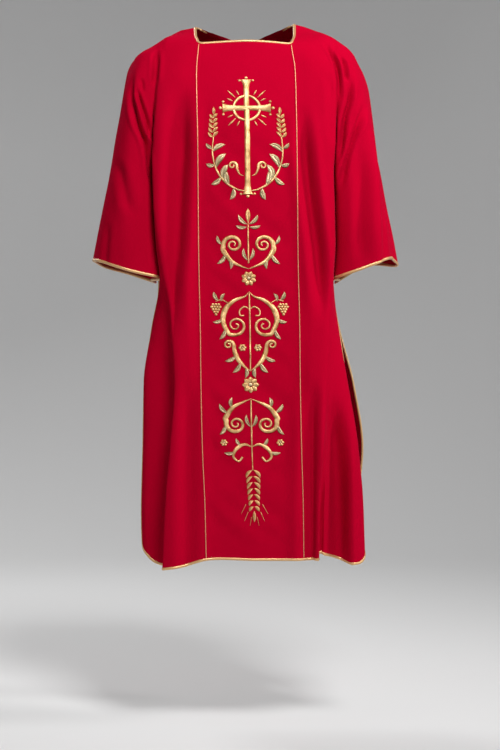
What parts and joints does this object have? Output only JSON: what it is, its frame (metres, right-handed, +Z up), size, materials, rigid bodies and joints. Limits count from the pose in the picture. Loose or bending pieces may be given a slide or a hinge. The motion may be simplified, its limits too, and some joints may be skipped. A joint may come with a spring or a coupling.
{
  "type": "dalmatic",
  "caption": "Worn red dalmatic: hollow cloth shell with wide half sleeves, square neck, slit sides and a gold-edged centre panel.",
  "frame": {"origin": "middle of the neck opening at the height of the shoulder seams, where the wearer's neck and shoulders hold it", "axes": "+Z up, -Y the garment's front, +X the wearer's left"},
  "size_m": [0.6842, 0.342, 1.2052],
  "materials": {
    "red_cloth": "red wool-look vestment cloth, fine weave, soft sheen",
    "panel_cloth": "the same red cloth, embroidered in metallic gold thread",
    "gold_braid": "woven gold lurex braid and piping"
  },
  "bodies": {
    "root": {"front_panel": "panel_cloth", "front_side_left": "red_cloth", "front_side_right": "red_cloth", "back": "red_cloth", "neck_binding": "gold_braid", "sleeve_binding_left": "gold_braid", "sleeve_binding_right": "gold_braid", "front_edge_binding": "gold_braid", "back_edge_binding": "gold_braid", "panel_piping_left": "gold_braid", "panel_piping_right": "gold_braid"}
  },
  "joints": []
}
